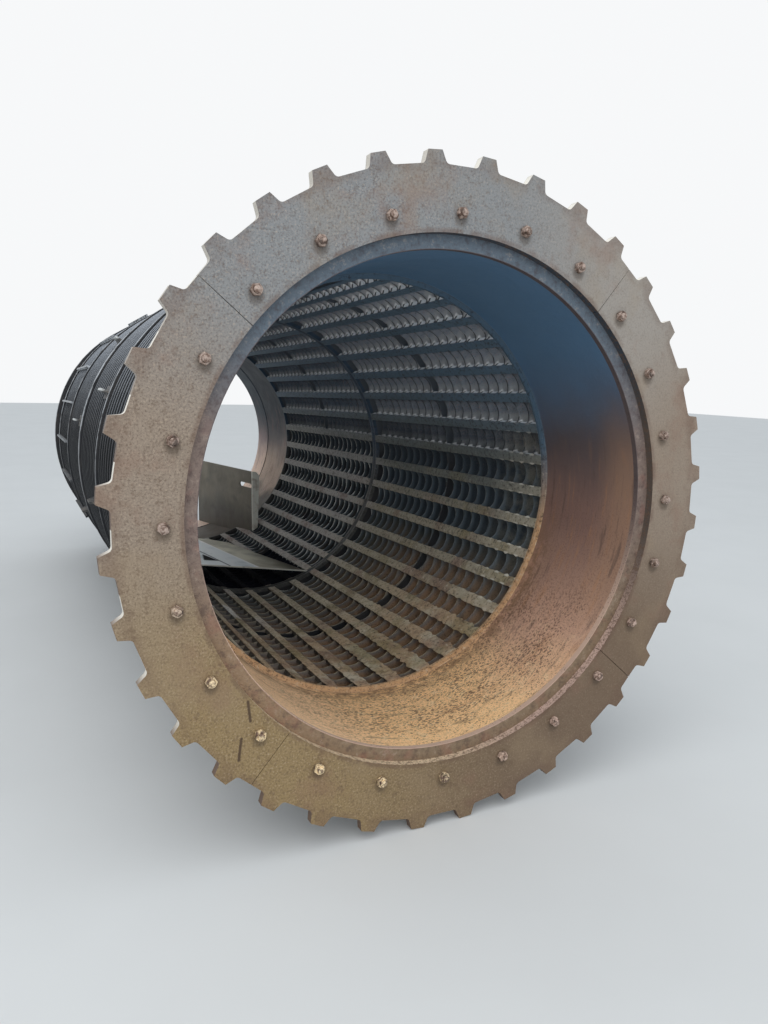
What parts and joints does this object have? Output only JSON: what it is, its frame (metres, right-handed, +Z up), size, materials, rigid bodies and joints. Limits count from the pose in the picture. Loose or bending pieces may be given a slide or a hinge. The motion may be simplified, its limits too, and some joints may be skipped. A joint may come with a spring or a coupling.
{
  "type": "trommel screen drum",
  "caption": "Long screening drum: toothed drive sprocket, plain feed shell, two bolted bays of bars and hoops with open cells, plain discharge shell, loose plates inside.",
  "frame": {"origin": "centre of the bounding box's bottom, on the level floor that the drum rests on", "axes": "+Y from the sprocket end to the discharge end, +X to the right seen from the sprocket end, +Z up; the drum's axis drops 1.68 degrees towards +Y"},
  "size_m": [2.1394, 4.805, 2.1394],
  "materials": {
    "sprocket_steel": "flame-cut plate under an even tan-brown rust",
    "flange_steel": "purplish brown rusted plate",
    "shell_steel": "rolled plate, orange-brown rust polished dark where material ran",
    "bar_steel": "brown-grey worn bar with packed dirt in the corners",
    "hoop_steel": "near-black weathered steel with bright rubbed edges",
    "collar_steel": "pinkish brown rusted plate",
    "sheet_steel": "dull grey sheet, dusty, bright along its edges",
    "cleat_steel": "dark weathered steel, corners rubbed bright"
  },
  "bodies": {
    "root": {"sprocket_segment_1": "sprocket_steel", "sprocket_segment_2": "sprocket_steel", "sprocket_segment_3": "sprocket_steel", "sprocket_segment_4": "sprocket_steel", "drive_flange": "flange_steel", "feed_shell": "shell_steel", "feed_end_flange": "hoop_steel", "bay_1_front_ring": "hoop_steel", "bay_1_bars": "bar_steel", "bay_1_joint_ring": "hoop_steel", "bay_2_joint_ring": "hoop_steel", "bay_2_bars": "bar_steel", "bay_2_rear_ring": "hoop_steel", "bay_1_front_ribs": "hoop_steel", "bay_1_seam_ring": "hoop_steel", "bay_1_rear_ribs": "hoop_steel", "bay_2_front_ribs": "hoop_steel", "bay_2_seam_ring": "hoop_steel", "bay_2_rear_ribs": "hoop_steel", "bay_1_cleats": "cleat_steel", "bay_2_cleats": "cleat_steel", "rear_gussets": "hoop_steel", "discharge_flange": "hoop_steel", "discharge_shell": "shell_steel", "collar_flange": "hoop_steel", "discharge_collar": "collar_steel", "deflector_plate": "sheet_steel", "liner_sheet": "sheet_steel"}
  },
  "joints": []
}
